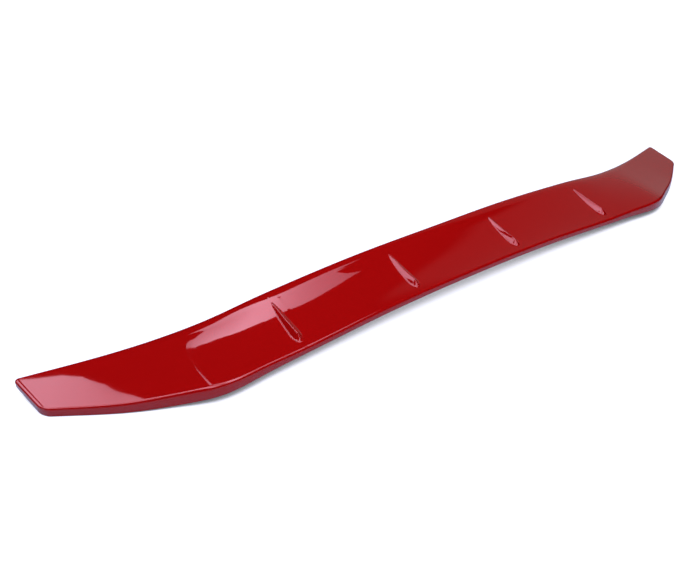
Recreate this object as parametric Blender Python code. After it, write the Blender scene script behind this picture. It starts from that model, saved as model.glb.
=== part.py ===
"""Rear lip spoiler with four vortex fins, lying on its two ears as it would on a bench.

The painted skin is a shallow tray turned upside down. Three closing panels sit in it from
below, and foam tape with peel-off liners, two ear pads and a rubber edge seal sit under them.
X runs along the part, +Y points to its front edge, +Z is up, and the part rests on Z = 0.
"""
import math

import bmesh
import bpy

MM = 0.001

# Driving dimensions, in millimetres.
REAR_HALF_LENGTH = 611.0
FRONT_HALF_LENGTH = 624.5

# The four fins: their places along the part, and their ends as fractions of its depth.
FIN_PLACES = (-300.0, -100.0, 100.0, 300.0)
FIN_REAR = 0.115
FIN_FRONT = 0.8
FIN_HALF_WIDTH = 7.5
FIN_LEAST_HALF_WIDTH = 1.5
FIN_HEIGHT = 6.8
FIN_FULLEST = 0.16
FIN_COLUMNS = (0.0, 0.03, 0.08, 0.16, 0.3, 0.5, 0.7, 0.88, 1.0)
FIN_ROWS = (0.12, 0.45, 1.0)
FIN_RISES = {0.12: 1.0, 0.45: 0.55, 1.0: 0.0}
FIN_CLEARANCE = 4.0

# Edge stations: distance from the middle, then depth and height of the edge.
# The rear ones also hold the height of the rear face.
REAR_EDGE = (
    (0.0, -6.5, 29.5, 9.0),
    (150.0, -7.5, 28.0, 9.5),
    (300.0, -13.0, 22.5, 9.0),
    (360.0, -16.0, 23.5, 12.0),
    (400.0, -19.5, 24.5, 14.5),
    (430.0, -17.0, 25.0, 16.5),
    (470.0, 1.0, 20.5, 16.5),
    (530.0, 30.0, 14.5, 13.5),
    (REAR_HALF_LENGTH, 80.0, 12.0, 11.5),
)
FRONT_EDGE = (
    (0.0, 94.5, 60.0),
    (150.0, 95.5, 58.5),
    (300.0, 94.5, 51.4),
    (400.0, 97.5, 40.0),
    (500.0, 115.0, 29.0),
    (FRONT_HALF_LENGTH, 147.5, 19.0),
)
FRONT_LIP = 8.5
CENTRE_SAG = 5.8
SAG_ENDS_AT = 560.0

# The skin: a wall all round, a ledge that the panels are bonded to, and a hollow above it.
WALL = 3.0
ROOF = 2.5
LEDGE = 7.0
DRAFT = 0.3
REAR_CHAMFER = 1.2
END_ROLL = 1.2
REAR_CORNER = 7.0
FRONT_CORNER = 6.0
CORNER_EXTRA = 6.0
END_ROWS = (0.0, 0.3, 1.2, WALL)
TOP_REAR_COLUMN = 0.07
GAP = 0.3

# The rolled front edge: how far it reaches in, and how far it falls, in the middle and at the ears.
FRONT_ROLL_REACH = (10.0, 3.0)
FRONT_ROLL_FALL = (4.0, 2.0)
FRONT_ROLL_COLUMNS = (1.0, 0.62, 0.28, 0.0)
EAR_FROM = 400.0

# Heights above the rim, the skin's lowest line.
PANEL_UNDERSIDE = 1.2
PANEL_THICKNESS = 2.0
TAPE_THICKNESS = 1.0
LINER_THICKNESS = 0.3
SEAL_THICKNESS = 1.4

# Lengths of the panels, and where the tapes start and end along the part.
PANEL_JOINT = 215.0
PANEL_END = 606.0
JOINT_GAP = 1.0
POCKET_LAND = 10.0
POCKET_END = 590.0
TAPE_JOINT_GAP = 30.0
FRONT_TAPE_END = 500.0
REAR_TAPE_END = 390.0
TAB_LENGTH = 12.0
EAR_PAD = (520.0, 575.0)
SEAL_END = 560.0

# Bands across the part, measured inwards from the front or the rear edge.
SEAL_BAND = (3.5, 7.5)
FRONT_TAPE_BAND = (9.0, 21.0)
REAR_TAPE_BAND = (6.0, 16.0)
EAR_PAD_BAND = (24.0, 44.0)

ALONG_STEP = 30.0
BEND = (360.0, 480.0)


def edge_value(stations, column, along):
    """Smooth curve through an edge's stations, level where it crosses the middle."""
    along = abs(along)
    last = len(stations) - 2
    k = min(max(i for i in range(last + 1) if stations[i][0] <= along + 1e-9), last)
    x0, x1 = stations[k][0], stations[k + 1][0]
    p0, p1 = stations[k][column], stations[k + 1][column]
    m0 = station_slope(stations, column, k)
    m1 = station_slope(stations, column, k + 1)
    t = (along - x0) / (x1 - x0)
    span = x1 - x0
    return (
        (2 * t**3 - 3 * t**2 + 1) * p0
        + (t**3 - 2 * t**2 + t) * span * m0
        + (3 * t**2 - 2 * t**3) * p1
        + (t**3 - t**2) * span * m1
    )


def station_slope(stations, column, k):
    """Slope of an edge's curve at one station."""
    if k == 0:
        return 0.0
    before = stations[k - 1]
    after = stations[min(k + 1, len(stations) - 1)]
    return (after[column] - before[column]) / (after[0] - before[0])


def rear(column, u):
    return edge_value(REAR_EDGE, column, u * REAR_HALF_LENGTH)


def front(column, u):
    return edge_value(FRONT_EDGE, column, u * FRONT_HALF_LENGTH)


def fraction(steps):
    return [i / steps for i in range(steps + 1)]


def depth(u, v):
    return (1 - v) * rear(1, u) + v * front(1, u)


def plan(u, v):
    """Place on the plan: u runs from one end (-1) to the other (1), v from rear (0) to front (1)."""
    x = u * (REAR_HALF_LENGTH + (FRONT_HALF_LENGTH - REAR_HALF_LENGTH) * v)
    return x, depth(u, v) - MIDDLE_DEPTH


def surface(u, v):
    """Height of the top surface, hollow across its middle and flat at the ears."""
    flat = min(abs(u) * REAR_HALF_LENGTH / SAG_ENDS_AT, 1.0)
    sag = CENTRE_SAG * (1 + math.cos(math.pi * flat)) / 2
    height = (1 - v) * rear(2, u) + v * front(2, u)
    return height - 4 * sag * v * (1 - v) - REST_HEIGHT


def rim(u, v):
    """Height of the skin's lowest line, and of the surface that joins its front and rear."""
    return surface(u, v) - ((1 - v) * rear(3, u) + v * FRONT_LIP)


def end_distance(u):
    return (1 - abs(u)) * REAR_HALF_LENGTH


def corner_cut(u, radius):
    """How far a rounded corner of this radius cuts into an edge, as a fraction v."""
    into = max(radius - end_distance(u), 0.0)
    return inset(u, radius - math.sqrt(radius**2 - into**2))


def corner_extra(u):
    """Distance that keeps the columns under an ear's tip inside its rounded corners."""
    into = max(WALL - end_distance(u), 0.0) / WALL
    return CORNER_EXTRA * into


def end_fall(u):
    """Fall of the rolled edge along the two ends."""
    into = max(END_ROLL - end_distance(u), 0.0)
    return END_ROLL - math.sqrt(END_ROLL**2 - into**2)


def front_roll(u):
    """Reach and fall of the rolled front edge: wide in the middle, tighter on the ears."""
    share = min(max((abs(u) * REAR_HALF_LENGTH - EAR_FROM) / (REAR_HALF_LENGTH - EAR_FROM), 0.0), 1.0)
    return [middle + (ear - middle) * share for middle, ear in (FRONT_ROLL_REACH, FRONT_ROLL_FALL)]


def inset(u, distance):
    """Fraction v at a distance inwards from either edge, measured square to the rear edge."""
    step = 0.002
    rise = (rear(1, abs(u) + step) - rear(1, abs(u) - step)) if abs(u) + step <= 1 else (
        rear(1, 1.0) - rear(1, 1.0 - 2 * step)
    )
    slope = rise / (2 * step * REAR_HALF_LENGTH)
    return distance * math.hypot(1, slope) / (front(1, u) - rear(1, u))


REST_HEIGHT = min(rear(2, u) - rear(3, u) for u in fraction(200))
REAR_LIMIT = min(depth(u, 0) for u in fraction(200))
FRONT_LIMIT = max(
    depth(u, 1 - corner_cut(u, FRONT_CORNER))
    for u in (1 - distance / REAR_HALF_LENGTH for distance in END_ROWS)
)
MIDDLE_DEPTH = (REAR_LIMIT + FRONT_LIMIT) / 2


def along_values(start, end):
    """Stations in u from one place along the part to another, closer together round the bends."""
    values = {start, end}
    count = int(REAR_HALF_LENGTH / ALONG_STEP) + 1
    for k in range(-count, count + 1):
        places = [(k + 0.5) * ALONG_STEP]
        if BEND[0] <= abs(k * ALONG_STEP) <= BEND[1]:
            places.append(k * ALONG_STEP)
        values.update(place for place in places if start + 4 < place < end - 4)
    return [value / REAR_HALF_LENGTH for value in sorted(values)]


def material(name, colour, roughness, metallic=0.0):
    made = bpy.data.materials.new(name)
    made.use_nodes = True
    shader = made.node_tree.nodes["Principled BSDF"]
    shader.inputs["Base Color"].default_value = (*colour, 1.0)
    shader.inputs["Roughness"].default_value = roughness
    shader.inputs["Metallic"].default_value = metallic
    return made


def finish_object(name, bm, made, sharp_angle=35.0):
    """Turn a bmesh into a named object, smooth except at its real edges."""
    bmesh.ops.recalc_face_normals(bm, faces=bm.faces)
    bmesh.ops.triangulate(bm, faces=bm.faces)
    mesh = bpy.data.meshes.new(name)
    bm.to_mesh(mesh)
    bm.free()
    mesh.materials.append(made)
    mesh.shade_smooth()
    mesh.set_sharp_from_angle(angle=math.radians(sharp_angle))
    made_object = bpy.data.objects.new(name, mesh)
    bpy.context.collection.objects.link(made_object)
    return made_object


def join_rows(bm, rows):
    """Join rows of vertices, each a closed ring, into a tube."""
    count = len(rows[0])
    for row, following in zip(rows, rows[1:]):
        for k in range(count):
            after = (k + 1) % count
            bm.faces.new((row[k], following[k], following[after], row[after]))


def band(name, made, us, v_values, top, bottom):
    """Closed solid between two heights, over a band of the plan."""
    bm = bmesh.new()
    rows = []
    for u in us:
        vs = v_values(u)
        upper = [(*plan(u, v), top(u, v)) for v in vs]
        lower = [(*plan(u, v), bottom(u, v)) for v in reversed(vs)]
        rows.append([bm.verts.new([c * MM for c in point]) for point in upper + lower])
    join_rows(bm, rows)
    for row in (rows[0], rows[-1]):
        for k in range(len(row) // 2 - 1):
            bm.faces.new((row[k], row[k + 1], row[-2 - k], row[-1 - k]))
    return finish_object(name, bm, made)


def above_rim(height):
    return lambda u, v: rim(u, v) + height


def spread(first, last, steps):
    return [first + (last - first) * f for f in fraction(steps)]


def fin_swell(t):
    """Fin size from its rear end (0) to its front tip (1): a quick rise, then a long fine taper."""
    if t <= 0 or t >= 1:
        return 0.0
    if t < FIN_FULLEST:
        return math.sin(math.pi / 2 * t / FIN_FULLEST) ** 0.8
    return (1 - (t - FIN_FULLEST) / (1 - FIN_FULLEST)) ** 0.85


def skin_rows():
    """Rows of the skin along the part: place, level of its underside, and fin and place across it.

    Level 0 is solid down to the rim, 1 is hollow to the ledge, 2 is hollow to the roof.
    """
    rows = []
    for sign in (-1, 1):
        for distance in END_ROWS:
            rows.append((sign * (REAR_HALF_LENGTH - distance), 0, None))
        rows.append((sign * (REAR_HALF_LENGTH - WALL - DRAFT), 1, None))
    for _, start, end in panel_spans():
        start, end = pocket_span(start, end)
        rows += [(start, 1, None), (start + DRAFT, 2, None), (end - DRAFT, 2, None), (end, 1, None)]
        for u in along_values(start, end)[1:-1]:
            place = u * REAR_HALF_LENGTH
            if min(abs(place - fin) for fin in FIN_PLACES) > FIN_HALF_WIDTH + FIN_CLEARANCE:
                rows.append((place, 2, None))
    for fin in FIN_PLACES:
        for half in FIN_ROWS:
            for across in (-half, half):
                rows.append((fin + across * FIN_HALF_WIDTH, 2, (fin, across)))
    return sorted(rows, key=lambda row: row[0])


def skin_upper(u, fin_row):
    """Points over the top of the skin at one row, from the rear face to the front edge."""
    first = corner_cut(u, REAR_CORNER)
    last = 1 - corner_cut(u, FRONT_CORNER)
    down = end_fall(u)
    points = [(*plan(u, first), surface(u, first) - max(down, REAR_CHAMFER))]
    fin_columns = [FIN_REAR + (FIN_FRONT - FIN_REAR) * t for t in FIN_COLUMNS]
    inner_columns = [first + (last - first) * v for v in (TOP_REAR_COLUMN, *fin_columns)]
    for v in (first + inset(u, REAR_CHAMFER), *inner_columns):
        x, y = plan(u, v)
        rise = -down
        if fin_row:
            fin, across = fin_row
            swell = fin_swell((v - FIN_REAR) / (FIN_FRONT - FIN_REAR))
            x = fin + across * max(FIN_HALF_WIDTH * swell, FIN_LEAST_HALF_WIDTH)
            rise += FIN_HEIGHT * swell**1.2 * FIN_RISES[abs(across)]
        points.append((x, y, surface(u, v) + rise))
    reach, fall = front_roll(u)
    for part in FRONT_ROLL_COLUMNS:
        v = last - inset(u, reach * part)
        drop = fall * (1 - math.sqrt(1 - (1 - part) ** 2))
        points.append((*plan(u, v), surface(u, v) - max(down, drop)))
    return points


def skin_lower(u, level):
    """Points under the skin at one row, from the front rim to the rear rim."""
    seat = PANEL_UNDERSIDE + PANEL_THICKNESS + GAP if level > 0 else 0.0
    half = [
        (WALL, 0.0),
        (WALL + DRAFT, seat),
        (WALL + LEDGE, seat),
    ]
    extra = corner_extra(u)
    pocket_edge = inset(u, WALL + LEDGE + DRAFT + extra)
    points = [(1 - corner_cut(u, FRONT_CORNER), 0.0)]
    points += [(1 - inset(u, distance + extra), height) for distance, height in half]
    roof = spread(1 - pocket_edge, pocket_edge, 4)
    points += [(v, None if level > 1 else seat) for v in roof]
    points += [(inset(u, distance + extra), height) for distance, height in reversed(half)]
    points.append((corner_cut(u, REAR_CORNER), 0.0))
    return [
        (*plan(u, v), surface(u, v) - ROOF if height is None else rim(u, v) + height)
        for v, height in points
    ]


def panel_spans():
    """Name and ends of each closing panel along the part."""
    return (
        ("left", -PANEL_END, -PANEL_JOINT),
        ("centre", -PANEL_JOINT, PANEL_JOINT),
        ("right", PANEL_JOINT, PANEL_END),
    )


def pocket_span(start, end):
    """Ends of the hollow over a panel: short of the panel's own ends."""
    return max(start + POCKET_LAND, -POCKET_END), min(end - POCKET_LAND, POCKET_END)


def outer_skin(paint):
    """Painted tray with its fins, its ledge for the panels and a hollow over each panel."""
    bm = bmesh.new()
    rows = []
    for place, level, fin_row in skin_rows():
        u = place / REAR_HALF_LENGTH
        points = skin_upper(u, fin_row) + skin_lower(u, level)
        rows.append([bm.verts.new([c * MM for c in point]) for point in points])
    join_rows(bm, rows)
    for row in (rows[0], rows[-1]):
        bm.faces.new(row)
    return finish_object("outer_skin", bm, paint)


def inside_columns(margin):
    """Columns of a panel: its edges, the inner edges of the ledges, and the middle between them."""
    def columns(u):
        rear_ledge, front_ledge = inset(u, WALL + LEDGE), 1 - inset(u, WALL + LEDGE)
        return [inset(u, margin), *spread(rear_ledge, front_ledge, 4), 1 - inset(u, margin)]
    return columns


def closing_panels(plastic):
    for label, start, end in panel_spans():
        start = start + JOINT_GAP / 2
        end = end - JOINT_GAP / 2
        band(
            "closing_panel_" + label, plastic, along_values(start, end),
            inside_columns(WALL + GAP + 0.2),
            above_rim(PANEL_UNDERSIDE + PANEL_THICKNESS), above_rim(PANEL_UNDERSIDE),
        )


def edge_columns(side, inner_and_outer):
    """Two columns of a band next to the front or the rear edge, or of one placed in between."""
    first, second = inner_and_outer
    if side == "front":
        return lambda u: (1 - inset(u, second), 1 - inset(u, first))
    return lambda u: (inset(u, first), inset(u, second))


def tape_with_liner(label, tape, film, start, end, columns, tab):
    """Strip of foam tape and the liner under it, whose tab sticks out past one end."""
    tape_top = PANEL_UNDERSIDE - GAP
    tape_bottom = tape_top - TAPE_THICKNESS
    liner_top = tape_bottom - GAP
    band(
        "tape_" + label, tape, along_values(start, end), columns,
        above_rim(tape_top), above_rim(tape_bottom),
    )
    tab_start = start - (TAB_LENGTH if tab < 0 else 0)
    tab_end = end + (TAB_LENGTH if tab > 0 else 0)
    band(
        "liner_" + label, film, along_values(tab_start, tab_end), columns,
        above_rim(liner_top), above_rim(liner_top - LINER_THICKNESS),
    )


def tapes(tape, film):
    """Front and rear runs in three lengths each, and a pad under each ear."""
    half_gap = TAPE_JOINT_GAP / 2
    runs = (
        ("front", FRONT_TAPE_END, FRONT_TAPE_BAND),
        ("rear", REAR_TAPE_END, REAR_TAPE_BAND),
    )
    for side, run_end, width in runs:
        columns = edge_columns(side, width)
        inner = PANEL_JOINT - half_gap
        outer = PANEL_JOINT + half_gap
        tape_with_liner(side + "_left", tape, film, -run_end, -outer, columns, -1)
        tape_with_liner(side + "_centre", tape, film, -inner, inner, columns, 1)
        tape_with_liner(side + "_right", tape, film, outer, run_end, columns, 1)
    columns = edge_columns("rear", EAR_PAD_BAND)
    tape_with_liner("ear_left", tape, film, -EAR_PAD[1], -EAR_PAD[0], columns, 1)
    tape_with_liner("ear_right", tape, film, EAR_PAD[0], EAR_PAD[1], columns, -1)


def edge_seal(rubber):
    """Rubber strip just inside the front rim, standing proud of it so that it closes the joint."""
    top = PANEL_UNDERSIDE - GAP
    band(
        "front_edge_seal", rubber, along_values(-SEAL_END, SEAL_END),
        edge_columns("front", SEAL_BAND), above_rim(top), above_rim(top - SEAL_THICKNESS),
    )


def main():
    for old in list(bpy.data.objects):
        bpy.data.objects.remove(old, do_unlink=True)
    outer_skin(material("gloss_red_paint", (0.33, 0.006, 0.008), 0.08))
    closing_panels(material("black_plastic", (0.02, 0.02, 0.021), 0.5))
    tapes(
        material("foam_tape", (0.16, 0.16, 0.165), 0.9),
        material("liner_film", (0.62, 0.62, 0.58), 0.4),
    )
    edge_seal(material("seal_rubber", (0.015, 0.015, 0.015), 0.7))


main()
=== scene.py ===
"""Looks of the rear lip spoiler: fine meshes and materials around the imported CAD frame."""

import math

import bpy
import numpy as np
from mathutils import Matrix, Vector

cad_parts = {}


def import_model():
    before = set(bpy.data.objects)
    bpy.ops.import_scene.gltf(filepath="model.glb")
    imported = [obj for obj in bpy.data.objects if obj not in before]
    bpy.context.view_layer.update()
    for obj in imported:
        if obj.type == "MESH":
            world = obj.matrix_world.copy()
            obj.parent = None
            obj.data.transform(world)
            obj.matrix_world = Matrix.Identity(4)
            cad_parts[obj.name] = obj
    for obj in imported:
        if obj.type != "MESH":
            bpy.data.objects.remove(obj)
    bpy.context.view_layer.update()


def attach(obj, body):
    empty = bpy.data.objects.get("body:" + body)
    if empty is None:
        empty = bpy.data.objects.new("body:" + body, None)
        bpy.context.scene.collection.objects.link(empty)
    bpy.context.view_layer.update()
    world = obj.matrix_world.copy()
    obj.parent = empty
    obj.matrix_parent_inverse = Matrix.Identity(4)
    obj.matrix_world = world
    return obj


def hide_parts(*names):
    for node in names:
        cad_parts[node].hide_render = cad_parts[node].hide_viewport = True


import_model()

MM = 0.001

# The part's own sizes, in millimetres, as in the CAD. Along the part is counted from its middle.
REAR_HALF_LENGTH = 611.0
FRONT_HALF_LENGTH = 624.5
MIDDLE_DEPTH = 63.086
REST_HEIGHT = 0.5
# Each station: distance from the middle, then depth and height of the edge, and of the rear face.
REAR_EDGE = (
    (0.0, -6.5, 29.5, 9.0),
    (150.0, -7.5, 28.0, 9.5),
    (300.0, -13.0, 22.5, 9.0),
    (360.0, -16.0, 23.5, 12.0),
    (400.0, -19.5, 24.5, 14.5),
    (430.0, -17.0, 25.0, 16.5),
    (470.0, 1.0, 20.5, 16.5),
    (530.0, 30.0, 14.5, 13.5),
    (REAR_HALF_LENGTH, 80.0, 12.0, 11.5),
)
FRONT_EDGE = (
    (0.0, 94.5, 60.0),
    (150.0, 95.5, 58.5),
    (300.0, 94.5, 51.4),
    (400.0, 97.5, 40.0),
    (500.0, 115.0, 29.0),
    (FRONT_HALF_LENGTH, 147.5, 19.0),
)
FRONT_LIP = 8.5
CENTRE_SAG = 5.8
SAG_ENDS_AT = 560.0
EDGE_FAIRING = 9.0

# The four fins. Their ends are fractions of the part's depth, and widths and height millimetres.
# The other values are fractions of a fin's length or of its half width, and powers of its curves.
FIN_PLACES = (-300.0, -100.0, 100.0, 300.0)
FIN_REAR = 0.115
FIN_FRONT = 0.80
FIN_HALF_WIDTH = 6.8
FIN_NOSE_HALF_WIDTH = 2.4
FIN_TIP_HALF_WIDTH = 0.9
FIN_HEIGHT = 6.8
FIN_FULLEST = 0.2
FIN_NOSE = 0.13
FIN_FILLET = 0.1
FIN_CREST = 0.05
FIN_LEAF_POWERS = (1.5, 0.75)
FIN_FLANK_POWER = 1.1
FIN_CREST_POWER = 0.6
FIN_CREST_BLEND = 0.06
FIN_END_FADE = 0.02

# Rounded edges: radius in millimetres against distance from the middle.
REAR_RADIUS = ((0, 3.4), (395, 3.4), (432, 4.4), (465, 3.6), (530, 3.0), (611, 2.5))
FRONT_REACH = ((0, 12), (200, 14), (300, 18), (360, 22), (420, 16), (500, 7), (611, 2.5))
FRONT_FALL = ((0, 4.2), (300, 4.2), (400, 3.8), (500, 3.0), (611, 2.5))
REAR_CORNER = 9.0
FRONT_CORNER = 7.0
RIM_RADIUS = 0.7

# The underside: a seat inside the wall, and what is bonded into it, as heights above the rim.
WALL = 3.0
SEAT_HEIGHT = 3.5
SEAT_END = 605.9
PANEL_HEIGHTS = (1.2, 3.2)
TAPE_HEIGHTS = (-0.1, 0.9)
LINER_HEIGHTS = (-0.7, -0.4)
SEAL_HEIGHTS = (-0.5, 0.9)
# Radius of the edges and of the corners of each.
PANEL_ROUNDING = (0.5, 1.5)
TAPE_ROUNDING = (0.2, 0.6)
LINER_ROUNDING = (0.12, 2.5)
SEAL_ROUNDING = (0.68, 1.9)
# Where each of them starts and ends, along the part and across it.
PANEL_MARGIN = 3.5
PANEL_JOINT = 215.0
PANEL_END = 606.0
JOINT_GAP = 1.0
TAPE_JOINT_GAP = 30.0
FRONT_TAPE_END = 500.0
REAR_TAPE_END = 390.0
TAB_LENGTH = 12.0
EAR_PAD = (520.0, 575.0)
SEAL_END = 560.0
SEAL_BAND = (3.5, 7.5)
FRONT_TAPE_BAND = (9.0, 21.0)
REAR_TAPE_BAND = (6.0, 16.0)
EAR_PAD_BAND = (24.0, 44.0)

# How finely the meshes are drawn.
ROW_STEP = 4.0
ROW_LEAST = 0.3
CURVE_STEP = 0.5
CORNER_STEPS = 14
ROLL_STEPS = 9
FOOT_STEPS = 5
STRIP_COLUMNS = 9
UNDERSIDE_COLUMNS = 11
BEYOND_ENDS = 60.0
# Rows across a fin, as places in half widths and their number: the crest is in the middle.
FIN_REACH = 2.0
FIN_CREST_ROWS = (0.0, 0.2, 7)
FIN_FLANK_ROWS = (0.28, 0.68, 5)
FIN_FOOT_ROWS = (0.74, 1.3, 13)
FIN_BESIDE_ROWS = (1.4, FIN_REACH, 4)
# Columns between the skin's rolled edges, as fractions of the way and their number.
EVEN_COLUMNS = (0.008, 0.992, 64)
FIN_NOSE_COLUMNS = (0.085, 0.27, 40)
FIN_TIP_COLUMNS = (0.83, 0.905, 12)
COLUMN_LEAST = 0.006

# Angles in degrees above which an edge is drawn sharp.
SKIN_SHARP = 35.0
STRIP_SHARP = 50.0
FLAT_SHARP = 30.0

# Where most values of a noise lie.
NOISE_RANGE = (0.3, 0.7)

WHITE = (1.0, 1.0, 1.0, 1.0)

# The floor, in metres; it glows to white far from the part, and is shaded close under it.
FLOOR_SIZE = 14.0
FLOOR_DROP = 0.0002
FLOOR_COLOUR = (0.36, 0.385, 0.46, 1.0)
GLOW_COLOUR = (0.95, 0.95, 1.0, 1.0)
GLOW_NEAR, GLOW_FAR = 0.82, 1.15
GLOW_REACH = (0.75, 1.5)
SHADE_REACH = 0.05
SHADE_RANGE = (0.24, 0.5)
SHADE_DEPTH = 0.12

# The softboxes: corners as X and Y in metres, and brightness at places along X.
SOFTBOX_HEIGHT = 1.6
SOFTBOX_TINT = (0.93, 0.94, 1.2, 1.0)
OVERHEAD_CORNERS = (
    (-0.15, 1.189), (-0.06, 1.15), (0.0, 1.055), (0.065, 0.88), (0.11, 0.775), (0.16, 0.68),
    (0.215, 0.59), (0.26, 0.525), (0.31, 0.475), (0.4, 0.44), (0.5, 0.4), (0.6, 0.355),
    (0.71, 0.29), (0.64, 0.27), (0.58, 0.228), (0.67, 0.17), (0.4, -1.2), (-0.9, -1.2),
    (-0.9, 0.62), (-0.12, 0.62), (-0.09, 0.85), (-0.1, 1.01), (-0.106, 1.09), (-0.145, 1.165),
)
OVERHEAD_RAMP = (
    (-0.9, 4.5), (-0.5, 3.2), (-0.2, 1.6), (-0.08, 2.6), (0.05, 4.2), (0.15, 4.9),
    (0.3, 3.4), (0.45, 2.3), (0.6, 1.6), (0.72, 0.8),
)
LEFT_CORNERS = (
    (-0.56, 0.85), (-0.555, 1.14), (-0.585, 1.215), (-0.64, 1.27), (-0.80, 1.38),
    (-1.6, 1.9), (-2.0, -0.4), (-1.0, -0.4), (-1.0, 0.85),
)
LEFT_RAMP = ((-1.0, 3.5), (-0.62, 3.2), (-0.555, 2.3))

# Lights that show in no reflection: name, place, what they are aimed at, and watts.
FILL_LIGHTS = (
    ("fill_right", (1.3, 0.1, 1.6), (0.5, 0.0, 0.0), 12.0),
    ("fill_front", (-0.5, -2.0, 0.7), (0.0, 0.0, 0.0), 24.0),
)
FILL_SIZE = 1.6

# The dim wall that the right half reflects: turns from +Y in radians, heights as sines. Its
# brightness falls off between two heights, which are followed by its levels there.
WALL_LEFT = (math.radians(46), math.radians(53))
WALL_RIGHT = (math.radians(67.5), math.radians(71))
WALL_LEAN = math.radians(12)
WALL_LEAN_HEIGHTS = (math.sin(math.radians(25)), math.sin(math.radians(42)))
WALL_TOP = (math.sin(math.radians(48)), math.sin(math.radians(51.5)))
WALL_FADE = (0.1, 0.75, 0.25, 0.1)

# The camera, in metres.
CAMERA_PLACE = (-0.6941, -0.7262, 0.6125)
CAMERA_AIM = (0.47907, 0.69065, -0.54176)
CAMERA_ROLL = math.radians(-0.37)
CAMERA_LENS = 39.35
SENSOR_WIDTH = 36.0


def hermite(stations, column, at):
    """Curve through the stations, level at the middle and straight on past the last one."""
    x = np.array([s[0] for s in stations])
    p = np.array([s[column] for s in stations])
    m = np.zeros(len(x))
    m[1:-1] = (p[2:] - p[:-2]) / (x[2:] - x[:-2])
    m[-1] = (p[-1] - p[-2]) / (x[-1] - x[-2])
    k = np.clip(np.searchsorted(x, at, side="right") - 1, 0, len(x) - 2)
    span = x[k + 1] - x[k]
    t = np.clip((at - x[k]) / span, 0.0, 1.0)
    inside = (
        (2 * t**3 - 3 * t**2 + 1) * p[k]
        + (t**3 - 2 * t**2 + t) * span * m[k]
        + (3 * t**2 - 2 * t**3) * p[k + 1]
        + (t**3 - t**2) * span * m[k + 1]
    )
    return inside + np.maximum(at - x[-1], 0.0) * m[-1]


def smoothed(value, spread):
    """Samples CURVE_STEP apart, blurred over a spread in millimetres."""
    reach = np.arange(-4 * spread, 4 * spread + CURVE_STEP, CURVE_STEP)
    weight = np.exp(-0.5 * (reach / spread) ** 2)
    return np.convolve(value, weight / weight.sum(), mode="same")


def samples(length):
    """Places along the whole part, and a little way past both ends."""
    return np.arange(-length - BEYOND_ENDS, length + BEYOND_ENDS + CURVE_STEP, CURVE_STEP)


def faired(stations, column, length):
    """An edge's curve along the whole part, both sides alike, without kinks at the stations."""
    at = samples(length)
    return at, smoothed(hermite(stations, column, np.abs(at)), EDGE_FAIRING)


def eased(pairs):
    """Size given at a few distances from the middle, as a smooth curve along the part."""
    at = samples(REAR_HALF_LENGTH)
    return at, smoothed(np.interp(np.abs(at), *zip(*pairs)), EDGE_FAIRING)


REAR_CURVES = {c: faired(REAR_EDGE, c, REAR_HALF_LENGTH) for c in (1, 2, 3)}
FRONT_CURVES = {c: faired(FRONT_EDGE, c, FRONT_HALF_LENGTH) for c in (1, 2)}
REAR_RADIUS_CURVE = eased(REAR_RADIUS)
FRONT_REACH_CURVE = eased(FRONT_REACH)
FRONT_FALL_CURVE = eased(FRONT_FALL)


def rear(column, u):
    return np.interp(u * REAR_HALF_LENGTH, *REAR_CURVES[column])


def front(column, u):
    return np.interp(u * FRONT_HALF_LENGTH, *FRONT_CURVES[column])


def along(curve, u):
    return float(np.interp(u * REAR_HALF_LENGTH, *curve))


def plan(u, v):
    """Place on the plan: u runs along the part (-1 to 1), v from its rear (0) to its front (1)."""
    x = u * (REAR_HALF_LENGTH + (FRONT_HALF_LENGTH - REAR_HALF_LENGTH) * v)
    y = (1 - v) * rear(1, u) + v * front(1, u)
    return x, y - MIDDLE_DEPTH


def surface(u, v):
    """Height of the top surface, hollow across its middle and flat at the ears."""
    flat = np.minimum(np.abs(u) * REAR_HALF_LENGTH / SAG_ENDS_AT, 1.0)
    sag = CENTRE_SAG * (1 + np.cos(np.pi * flat)) / 2
    height = (1 - v) * rear(2, u) + v * front(2, u)
    return height - 4 * sag * v * (1 - v) - REST_HEIGHT


def rim(u, v):
    """Height of the skin's lowest line, and of the surface that joins its front and rear."""
    return surface(u, v) - ((1 - v) * rear(3, u) + v * FRONT_LIP)


def inset(u, distance):
    """Fraction v at a distance inwards from the rear edge, measured square to it."""
    step = 0.002
    slope = (rear(1, u + step) - rear(1, u - step)) / (2 * step * REAR_HALF_LENGTH)
    return float(distance * np.hypot(1, slope) / (front(1, u) - rear(1, u)))


def corner_cut(end, radius):
    """How far a rounded corner cuts in, at a distance from the end of the piece."""
    into = max(radius - end, 0.0)
    return radius - math.sqrt(radius**2 - into**2)


def outline_distance(side, end, radius):
    """Distance inwards from an outline with rounded corners."""
    corner = np.hypot(np.maximum(radius - side, 0.0), np.maximum(radius - end, 0.0))
    return np.where(corner > 0, radius - corner, np.minimum(side, end))


def roll_fall(distance, reach, fall):
    """Fall of a rolled edge at a distance inwards from it."""
    into = np.clip(1 - distance / reach, 0.0, 1.0)
    return fall * (1 - np.sqrt(1 - into**2))


def roll_columns(reach):
    """Distances inwards from an edge that draw its roll evenly."""
    return reach * (1 - np.cos(np.linspace(0, np.pi / 2, ROLL_STEPS)))


def soft_min(a, b, reach):
    return 0.5 * (a + b - np.sqrt((a - b) ** 2 + reach**2)) + 0.25 * reach


def soft_max(a, b, reach):
    """The larger of two values, rounded where they meet, and exactly the larger far from there."""
    gap = np.clip(1 - np.abs(a - b) / (2 * reach), 0.0, 1.0)
    return np.maximum(a, b) + gap**2 * reach / 2


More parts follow.
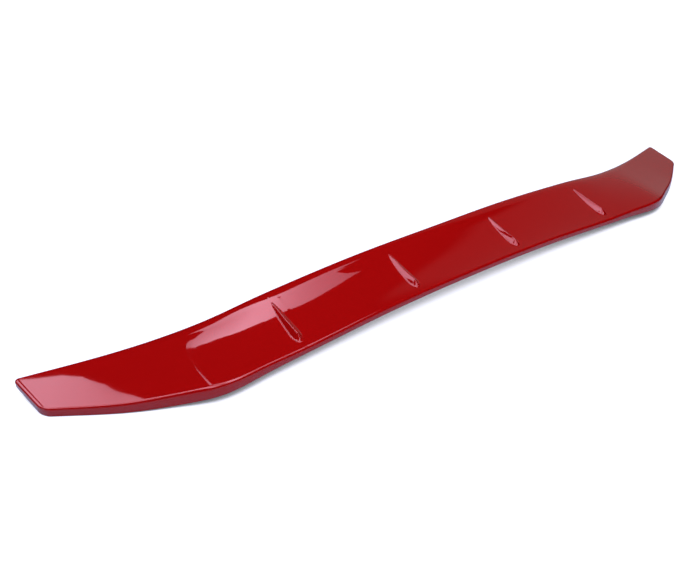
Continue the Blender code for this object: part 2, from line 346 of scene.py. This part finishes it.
def fin_shape(t, across):
    """Offsets from a fin's middle line, and its rise, from rear tip (t 0) to front tip (t 1).

    Across runs from -1 to 1 over the fin itself, and on to FIN_REACH over the skin beside it.
    """
    inside = np.clip(t, 0.0, 1.0)
    nose = 1 - (1 - np.minimum(inside / FIN_FULLEST, 1.0)) ** 2
    taper = np.clip((inside - FIN_FULLEST) / (1 - FIN_FULLEST), 0.0, 1.0)
    leaf = (1 - taper ** FIN_LEAF_POWERS[0]) ** FIN_LEAF_POWERS[1]
    half = np.where(
        inside < FIN_FULLEST,
        FIN_NOSE_HALF_WIDTH + (FIN_HALF_WIDTH - FIN_NOSE_HALF_WIDTH) * nose,
        FIN_TIP_HALF_WIDTH + (FIN_HALF_WIDTH - FIN_TIP_HALF_WIDTH) * leaf,
    )
    beyond = max(abs(across) - 1, 0.0) / (FIN_REACH - 1)
    offset = half * min(abs(across), 1.0) + beyond * (FIN_REACH * FIN_HALF_WIDTH - half)
    c = offset / half
    ridge = 1 - (np.sqrt(c**2 + FIN_CREST**2) - FIN_CREST) ** FIN_FLANK_POWER
    profile = soft_max(ridge, 0.0, FIN_FILLET)
    crest = soft_min(inside / FIN_NOSE, (1 - taper) ** FIN_CREST_POWER, FIN_CREST_BLEND)
    fade = np.clip(t / FIN_END_FADE, 0, 1) * np.clip((1 - t) / FIN_END_FADE, 0, 1)
    rise = FIN_HEIGHT * np.maximum(crest, 0.0) * fade * profile
    return math.copysign(1, across) * offset, rise


def add_mesh(name, vertices, faces, material, sharp):
    mesh = bpy.data.meshes.new(name)
    mesh.from_pydata((np.asarray(vertices) * MM).tolist(), [], faces)
    mesh.validate()
    mesh.update()
    mesh.materials.append(material)
    mesh.shade_smooth()
    mesh.set_sharp_from_angle(angle=math.radians(sharp))
    made = bpy.data.objects.new(name, mesh)
    bpy.context.scene.collection.objects.link(made)
    return made


def add_tube(name, rings, material, sharp):
    """Closed solid through rings of points, with two flat ends."""
    count = len(rings[0])
    faces = []
    for r in range(len(rings) - 1):
        base, after = r * count, (r + 1) * count
        for k in range(count):
            n = (k + 1) % count
            faces.append((base + k, after + k, after + n, base + n))
    faces.append(tuple(range(count)))
    faces.append(tuple(range(len(rings) * count - 1, (len(rings) - 1) * count - 1, -1)))
    return add_mesh(name, np.array(rings).reshape(-1, 3), faces, material, sharp)


def bind(piece, node):
    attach(piece, "root")
    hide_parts(node)


def end_places(start, end, radius):
    """Places along a piece: closer together where its ends are rounded."""
    near = radius * (1 - np.cos(np.linspace(0, np.pi / 2, CORNER_STEPS)))[:-1]
    inner = np.linspace(start + radius, end - radius, max(int((end - start) / ROW_STEP), 2))
    return [*(start + near), *inner, *(end - near[::-1])]


def skin_rows():
    """Rows of the skin along the part: place, seated, a fin's place or None, place across it."""
    rows = [(side * SEAT_END, seated, None, 0.0) for side in (-1, 1) for seated in (False, True)]
    clear = FIN_REACH * FIN_HALF_WIDTH + ROW_STEP / 2
    for place in end_places(-REAR_HALF_LENGTH, REAR_HALF_LENGTH, REAR_CORNER):
        by_fin = min(abs(place - fin) for fin in FIN_PLACES) <= clear
        if not by_fin and abs(abs(place) - SEAT_END) > ROW_LEAST:
            rows.append((place, abs(place) < SEAT_END, None, 0.0))
    for fin in FIN_PLACES:
        for share in fin_across():
            rows.append((fin + share * FIN_HALF_WIDTH, True, fin, share))
    return sorted(rows, key=lambda row: (row[0], row[1] if row[0] < 0 else not row[1]))


def fin_across():
    """Places across a fin: close together at its crest and at the fillets along its foot."""
    stretches = (FIN_CREST_ROWS, FIN_FLANK_ROWS, FIN_FOOT_ROWS, FIN_BESIDE_ROWS)
    side = np.concatenate([np.linspace(*stretch) for stretch in stretches])
    return np.concatenate([-side[:0:-1], side])


def top_fractions():
    """Columns between the two rolled edges: even, with more where the fins begin and end."""
    even = np.linspace(*EVEN_COLUMNS)
    nose = np.linspace(*FIN_NOSE_COLUMNS)
    tip = np.linspace(*FIN_TIP_COLUMNS)
    for dense in (nose, tip):
        even = even[(even < dense[0] - COLUMN_LEAST) | (even > dense[-1] + COLUMN_LEAST)]
    return np.sort(np.concatenate([even, nose, tip]))


TOP_FRACTIONS = top_fractions()


def top_of_skin(u, end, per_mm, fin, across):
    """Points over the top of the skin at one row, from the rear face to the front one."""
    first = corner_cut(end, REAR_CORNER) * per_mm
    last = 1 - corner_cut(end, FRONT_CORNER) * per_mm
    radius = along(REAR_RADIUS_CURVE, u)
    reach, fall = along(FRONT_REACH_CURVE, u), along(FRONT_FALL_CURVE, u)
    rear_roll = first + roll_columns(radius) * per_mm
    front_roll = last - roll_columns(reach)[::-1] * per_mm
    between = rear_roll[-1] + (front_roll[0] - rear_roll[-1]) * TOP_FRACTIONS
    v = np.concatenate([rear_roll, between, front_roll])
    at_rear = v < 0.5
    distance = outline_distance(
        np.where(at_rear, v, 1 - v) / per_mm, end, np.where(at_rear, REAR_CORNER, FRONT_CORNER)
    )
    down = roll_fall(distance, np.where(at_rear, radius, reach), np.where(at_rear, radius, fall))
    x, y = plan(u, v)
    if fin is None:
        return list(zip(x, y, surface(u, v) - down))
    offset, rise = fin_shape((v - FIN_REAR) / (FIN_FRONT - FIN_REAR), across)
    x = fin + offset
    at = x / (REAR_HALF_LENGTH + (FRONT_HALF_LENGTH - REAR_HALF_LENGTH) * v)
    return list(zip(x, y, surface(at, v) - down + rise))


def foot_of_skin(u, end, per_mm, edge, inwards):
    """Rounded foot of the front or the rear face, from its inner side outwards."""
    lift = corner_cut(end, RIM_RADIUS)
    points = []
    for angle in np.radians(np.linspace(90, 0, FOOT_STEPS)):
        v = edge + inwards * RIM_RADIUS * (1 - math.cos(angle)) * per_mm
        points.append((v, rim(u, v) + max(lift, RIM_RADIUS * (1 - math.sin(angle)))))
    return points


def under_skin(u, end, per_mm, seated):
    """Points under the skin at one row, from the inside of the front wall to that of the rear."""
    lift = corner_cut(end, RIM_RADIUS)
    seat = SEAT_HEIGHT if seated else lift
    first = (corner_cut(end, REAR_CORNER) + WALL) * per_mm
    last = 1 - (corner_cut(end, FRONT_CORNER) + WALL) * per_mm
    points = [(last, rim(u, last) + lift)]
    points += [(v, rim(u, v) + seat) for v in np.linspace(last, first, UNDERSIDE_COLUMNS)]
    return points + [(first, rim(u, first) + lift)]


def skin_ring(place, seated, fin, across):
    """Closed ring of points round the skin at one row, in millimetres."""
    u = place / REAR_HALF_LENGTH
    end = REAR_HALF_LENGTH - abs(place)
    per_mm = inset(u, 1.0)
    rear_edge = corner_cut(end, REAR_CORNER) * per_mm
    front_edge = 1 - corner_cut(end, FRONT_CORNER) * per_mm
    rear_foot = foot_of_skin(u, end, per_mm, rear_edge, 1)
    front_foot = foot_of_skin(u, end, per_mm, front_edge, -1)[::-1]

    def placed(points):
        return [(*(float(c) for c in plan(u, v)), float(z)) for v, z in points]

    top = top_of_skin(u, end, per_mm, fin, across)
    return placed(rear_foot) + top + placed(front_foot + under_skin(u, end, per_mm, seated))


def outer_skin(paint):
    rings = [skin_ring(*row) for row in skin_rows()]
    bind(add_tube("skin_painted", rings, paint, SKIN_SHARP), "outer_skin")


def strip(node, material, span, columns, heights, rounding):
    """Solid that follows the rim between two heights, with rounded edges and corners."""
    start, finish = span
    radius, corner = rounding
    rings = []
    for place in end_places(start, finish, corner):
        u = place / REAR_HALF_LENGTH
        per_mm = inset(u, 1.0)
        end = min(place - start, finish - place)
        cut = corner_cut(end, corner) * per_mm
        first, last = columns(u)
        edge = roll_columns(radius)[::2] * per_mm
        inner = np.linspace(first + cut + edge[-1], last - cut - edge[-1], STRIP_COLUMNS)[1:-1]
        v = np.concatenate([first + cut + edge, inner, (last - cut - edge)[::-1]])
        side = np.minimum(v - first, last - v) / per_mm
        inwards = roll_fall(outline_distance(side, end, corner), radius, radius)
        x, y = plan(u, v)
        upper = list(zip(x, y, rim(u, v) + heights[1] - inwards))
        lower = list(zip(x, y, rim(u, v) + heights[0] + inwards))
        rings.append(upper + lower[::-1])
    bind(add_tube(node + "_fine", rings, material, STRIP_SHARP), node)


def beside(side, band):
    """Columns of a band next to the front or the rear edge."""
    if side == "front":
        return lambda u: (1 - inset(u, band[1]), 1 - inset(u, band[0]))
    return lambda u: (inset(u, band[0]), inset(u, band[1]))


def panels(plastic):
    ends = (("left", -PANEL_END, -PANEL_JOINT), ("centre", -PANEL_JOINT, PANEL_JOINT),
            ("right", PANEL_JOINT, PANEL_END))
    for label, start, end in ends:
        span = (start + JOINT_GAP / 2, end - JOINT_GAP / 2)
        strip("closing_panel_" + label, plastic, span,
              lambda u: (inset(u, PANEL_MARGIN), 1 - inset(u, PANEL_MARGIN)),
              PANEL_HEIGHTS, PANEL_ROUNDING)


def tapes(foam, film):
    """Front and rear runs in three lengths each, and a pad under each ear, all with liners.

    A liner's pull tab runs past its tape at the end with the lower (-1) or the higher (1) X.
    """
    near = PANEL_JOINT - TAPE_JOINT_GAP / 2
    far = PANEL_JOINT + TAPE_JOINT_GAP / 2
    lengths = []
    for side, end, band in (("front", FRONT_TAPE_END, FRONT_TAPE_BAND),
                            ("rear", REAR_TAPE_END, REAR_TAPE_BAND)):
        columns = beside(side, band)
        lengths.append((side + "_left", -end, -far, columns, -1))
        lengths.append((side + "_centre", -near, near, columns, 1))
        lengths.append((side + "_right", far, end, columns, 1))
    columns = beside("rear", EAR_PAD_BAND)
    lengths.append(("ear_left", -EAR_PAD[1], -EAR_PAD[0], columns, 1))
    lengths.append(("ear_right", EAR_PAD[0], EAR_PAD[1], columns, -1))
    for label, start, end, columns, tab in lengths:
        strip("tape_" + label, foam, (start, end), columns,
              TAPE_HEIGHTS, TAPE_ROUNDING)
        film_span = (start - TAB_LENGTH * (tab < 0), end + TAB_LENGTH * (tab > 0))
        strip("liner_" + label, film, film_span, columns,
              LINER_HEIGHTS, LINER_ROUNDING)


def edge_seal(rubber):
    strip("front_edge_seal", rubber, (-SEAL_END, SEAL_END),
          beside("front", SEAL_BAND), SEAL_HEIGHTS, SEAL_ROUNDING)


def nodes_of(name):
    material = bpy.data.materials.new(name)
    material.use_nodes = True
    tree = material.node_tree
    return material, tree.nodes, tree.links, tree.nodes["Principled BSDF"]


def maths(nodes, links, operation, first, second):
    made = nodes.new("ShaderNodeMath")
    made.operation = operation
    links.new(first, made.inputs[0])
    links.new(second, made.inputs[1])
    return made.outputs["Value"]


def remap(nodes, links, value, start, end, low, high, curve="LINEAR"):
    """Value taken from one range to another, and held at the ends of the new one."""
    made = nodes.new("ShaderNodeMapRange")
    made.interpolation_type = curve
    for key, setting in (("From Min", start), ("From Max", end), ("To Min", low), ("To Max", high)):
        made.inputs[key].default_value = setting
    links.new(value, made.inputs["Value"])
    return made.outputs["Result"]


def noise(nodes, links, per_metre, detail=2.0):
    """Noise in the object's own space, at a count of waves per metre."""
    place = nodes.new("ShaderNodeTexCoord")
    made = nodes.new("ShaderNodeTexNoise")
    made.inputs["Scale"].default_value = per_metre
    made.inputs["Detail"].default_value = detail
    links.new(place.outputs["Object"], made.inputs["Vector"])
    return made.outputs["Fac"]


def vary(nodes, links, value, low, high, target):
    """Drive a shader input from a noise, between two values."""
    links.new(remap(nodes, links, value, *NOISE_RANGE, low, high), target)


def relief(nodes, links, value, depth_mm, target):
    bump = nodes.new("ShaderNodeBump")
    bump.inputs["Distance"].default_value = depth_mm * MM
    links.new(value, bump.inputs["Height"])
    links.new(bump.outputs["Normal"], target)


def tint(nodes, links, value, dark, light, target):
    mix = nodes.new("ShaderNodeMix")
    mix.data_type = "RGBA"
    mix.inputs["A"].default_value = (*dark, 1.0)
    mix.inputs["B"].default_value = (*light, 1.0)
    links.new(value, mix.inputs["Factor"])
    links.new(mix.outputs["Result"], target)


def paint_material():
    """Solid deep red under clear lacquer, with the lacquer's faint orange peel."""
    material, nodes, links, shader = nodes_of("deep_red_gloss_paint")
    tint(nodes, links, noise(nodes, links, 900.0), (0.275, 0.0019, 0.0019), (0.305, 0.0022, 0.0022),
         shader.inputs["Base Color"])
    shader.inputs["Roughness"].default_value = 0.03
    shader.inputs["Specular Tint"].default_value = (1.0, 0.02, 0.03, 1.0)
    shader.inputs["Coat Weight"].default_value = 1.0
    shader.inputs["Coat Roughness"].default_value = 0.02
    relief(nodes, links, noise(nodes, links, 260.0), 0.0012, shader.inputs["Coat Normal"])
    return material


def panel_material():
    """Black moulded plastic with a fine spark-eroded grain."""
    material, nodes, links, shader = nodes_of("grained_black_plastic")
    tint(nodes, links, noise(nodes, links, 40.0), (0.016, 0.016, 0.017), (0.026, 0.026, 0.027),
         shader.inputs["Base Color"])
    vary(nodes, links, noise(nodes, links, 90.0), 0.42, 0.56, shader.inputs["Roughness"])
    relief(nodes, links, noise(nodes, links, 1100.0, 4.0), 0.05, shader.inputs["Normal"])
    return material


def foam_material():
    """Dark grey closed-cell foam with open pores at its cut sides."""
    material, nodes, links, shader = nodes_of("grey_acrylic_foam")
    pores = noise(nodes, links, 2600.0, 3.0)
    tint(nodes, links, pores, (0.03, 0.03, 0.032), (0.12, 0.12, 0.125), shader.inputs["Base Color"])
    shader.inputs["Roughness"].default_value = 0.95
    relief(nodes, links, pores, 0.12, shader.inputs["Normal"])
    return material


def film_material():
    """Thin red release film, satin and very slightly crinkled."""
    material, nodes, links, shader = nodes_of("red_release_film")
    tint(nodes, links, noise(nodes, links, 22.0), (0.42, 0.016, 0.012), (0.52, 0.024, 0.018),
         shader.inputs["Base Color"])
    vary(nodes, links, noise(nodes, links, 160.0), 0.28, 0.4, shader.inputs["Roughness"])
    relief(nodes, links, noise(nodes, links, 60.0, 3.0), 0.12, shader.inputs["Normal"])
    return material


def rubber_material():
    """Black extruded rubber with a dull, slightly dusty skin."""
    material, nodes, links, shader = nodes_of("black_seal_rubber")
    tint(nodes, links, noise(nodes, links, 120.0), (0.011, 0.011, 0.011), (0.022, 0.022, 0.021),
         shader.inputs["Base Color"])
    vary(nodes, links, noise(nodes, links, 300.0), 0.55, 0.75, shader.inputs["Roughness"])
    relief(nodes, links, noise(nodes, links, 1800.0, 3.0), 0.03, shader.inputs["Normal"])
    return material


def floor():
    """Pale ground, lifted to white for the camera, that shades a little under the part."""
    bpy.ops.mesh.primitive_plane_add(size=FLOOR_SIZE, location=(0, 0, -FLOOR_DROP))
    made = bpy.context.active_object
    made.name = "studio_floor"
    material, nodes, links, shader = nodes_of("studio_floor")
    shader.inputs["Base Color"].default_value = FLOOR_COLOUR
    shader.inputs["Roughness"].default_value = 1.0
    shader.inputs["Specular IOR Level"].default_value = 0.0
    shader.inputs["Emission Color"].default_value = GLOW_COLOUR
    place = nodes.new("ShaderNodeTexCoord")
    distance = nodes.new("ShaderNodeVectorMath")
    distance.operation = "LENGTH"
    links.new(place.outputs["Object"], distance.inputs["Vector"])
    occlusion = nodes.new("ShaderNodeAmbientOcclusion")
    occlusion.inputs["Distance"].default_value = SHADE_REACH
    seen = nodes.new("ShaderNodeLightPath")
    glow = remap(nodes, links, distance.outputs["Value"], *GLOW_REACH, GLOW_NEAR, GLOW_FAR)
    shade = remap(nodes, links, occlusion.outputs["AO"], *SHADE_RANGE, SHADE_DEPTH, 1.0)
    lifted = maths(nodes, links, "MULTIPLY", glow, seen.outputs["Is Camera Ray"])
    strength = maths(nodes, links, "MULTIPLY", lifted, shade)
    links.new(strength, shader.inputs["Emission Strength"])
    made.data.materials.append(material)


def fill(name, place, target, watts):
    """Light that evens the paint out and shows in no reflection."""
    data = bpy.data.lights.new(name, "AREA")
    data.size = FILL_SIZE
    data.energy = watts
    made = bpy.data.objects.new(name, data)
    bpy.context.scene.collection.objects.link(made)
    made.location = place
    made.rotation_euler = (Vector(target) - Vector(place)).to_track_quat("-Z", "Y").to_euler()
    made.visible_glossy = False
    made.visible_camera = False


def brightness_curve(nodes, links, value, ramp):
    """Smooth curve through (place, level) pairs, read at a value."""
    start, end = ramp[0][0], ramp[-1][0]
    peak = max(level for _, level in ramp)
    places = [((x - start) / (end - start), level / peak) for x, level in ramp]
    curve = nodes.new("ShaderNodeFloatCurve")
    links.new(remap(nodes, links, value, start, end, 0.0, 1.0), curve.inputs["Value"])
    points = curve.mapping.curves[0].points
    points[0].location, points[1].location = places[0], places[-1]
    for place in places[1:-1]:
        points.new(*place)
    curve.mapping.update()
    return remap(nodes, links, curve.outputs["Value"], 0.0, 1.0, 0.0, peak)


def softbox(name, corners, ramp):
    """Flat glowing panel overhead, seen in reflections only; its brightness runs along X."""
    material = bpy.data.materials.new(name)
    material.use_nodes = True
    nodes, links = material.node_tree.nodes, material.node_tree.links
    nodes.clear()
    glow = nodes.new("ShaderNodeEmission")
    glow.inputs["Color"].default_value = SOFTBOX_TINT
    output = nodes.new("ShaderNodeOutputMaterial")
    links.new(glow.outputs["Emission"], output.inputs["Surface"])
    place = nodes.new("ShaderNodeTexCoord")
    split = nodes.new("ShaderNodeSeparateXYZ")
    links.new(place.outputs["Object"], split.inputs["Vector"])
    links.new(brightness_curve(nodes, links, split.outputs["X"], ramp), glow.inputs["Strength"])
    vertices = [(x / MM, y / MM, SOFTBOX_HEIGHT / MM) for x, y in corners]
    made = add_mesh(name, vertices, [tuple(range(len(vertices)))], material, FLAT_SHARP)
    made.visible_camera = False
    made.visible_shadow = False


def camera():
    data = bpy.data.cameras.new("camera")
    data.lens = CAMERA_LENS
    data.sensor_width = SENSOR_WIDTH
    data.clip_start = 0.01
    made = bpy.data.objects.new("camera", data)
    bpy.context.scene.collection.objects.link(made)
    made.matrix_world = Vector(CAMERA_AIM).to_track_quat("-Z", "Y").to_matrix().to_4x4()
    made.rotation_euler.rotate_axis("Z", CAMERA_ROLL)
    made.location = CAMERA_PLACE
    bpy.context.scene.camera = made


def wall_brightness(nodes, links):
    """A dim wall round the room's right and rear, with a leaning right end, that fades upwards."""
    place = nodes.new("ShaderNodeTexCoord")
    split = nodes.new("ShaderNodeSeparateXYZ")
    links.new(place.outputs["Generated"], split.inputs["Vector"])
    up = split.outputs["Z"]
    turn = maths(nodes, links, "ARCTAN2", split.outputs["X"], split.outputs["Y"])
    lean = remap(nodes, links, up, *WALL_LEAN_HEIGHTS, 0.0, WALL_LEAN)
    upright = maths(nodes, links, "SUBTRACT", turn, lean)
    wall = remap(nodes, links, turn, *WALL_LEFT, 0.0, 1.0, "SMOOTHSTEP")
    for share in (
        remap(nodes, links, upright, *WALL_RIGHT, 1.0, 0.0, "SMOOTHSTEP"),
        remap(nodes, links, up, *WALL_TOP, 1.0, 0.0, "SMOOTHSTEP"),
        remap(nodes, links, up, *WALL_FADE, "SMOOTHSTEP"),
    ):
        wall = maths(nodes, links, "MULTIPLY", wall, share)
    return wall


def world():
    """White to the camera; to the paint, a dark room with one dim wall."""
    made = bpy.data.worlds.new("studio")
    made.use_nodes = True
    nodes, links = made.node_tree.nodes, made.node_tree.links
    seen = nodes.new("ShaderNodeLightPath")
    mix = nodes.new("ShaderNodeMix")
    mix.data_type = "FLOAT"
    links.new(seen.outputs["Is Camera Ray"], mix.inputs["Factor"])
    links.new(wall_brightness(nodes, links), mix.inputs["A"])
    mix.inputs["B"].default_value = 1.0
    background = nodes["Background"]
    background.inputs["Color"].default_value = WHITE
    links.new(mix.outputs["Result"], background.inputs["Strength"])
    bpy.context.scene.world = made


outer_skin(paint_material())
panels(panel_material())
tapes(foam_material(), film_material())
edge_seal(rubber_material())
world()
floor()
softbox("overhead_softbox", OVERHEAD_CORNERS, OVERHEAD_RAMP)
softbox("left_softbox", LEFT_CORNERS, LEFT_RAMP)
for light in FILL_LIGHTS:
    fill(*light)
camera()
bpy.context.scene.view_settings.view_transform = "Standard"
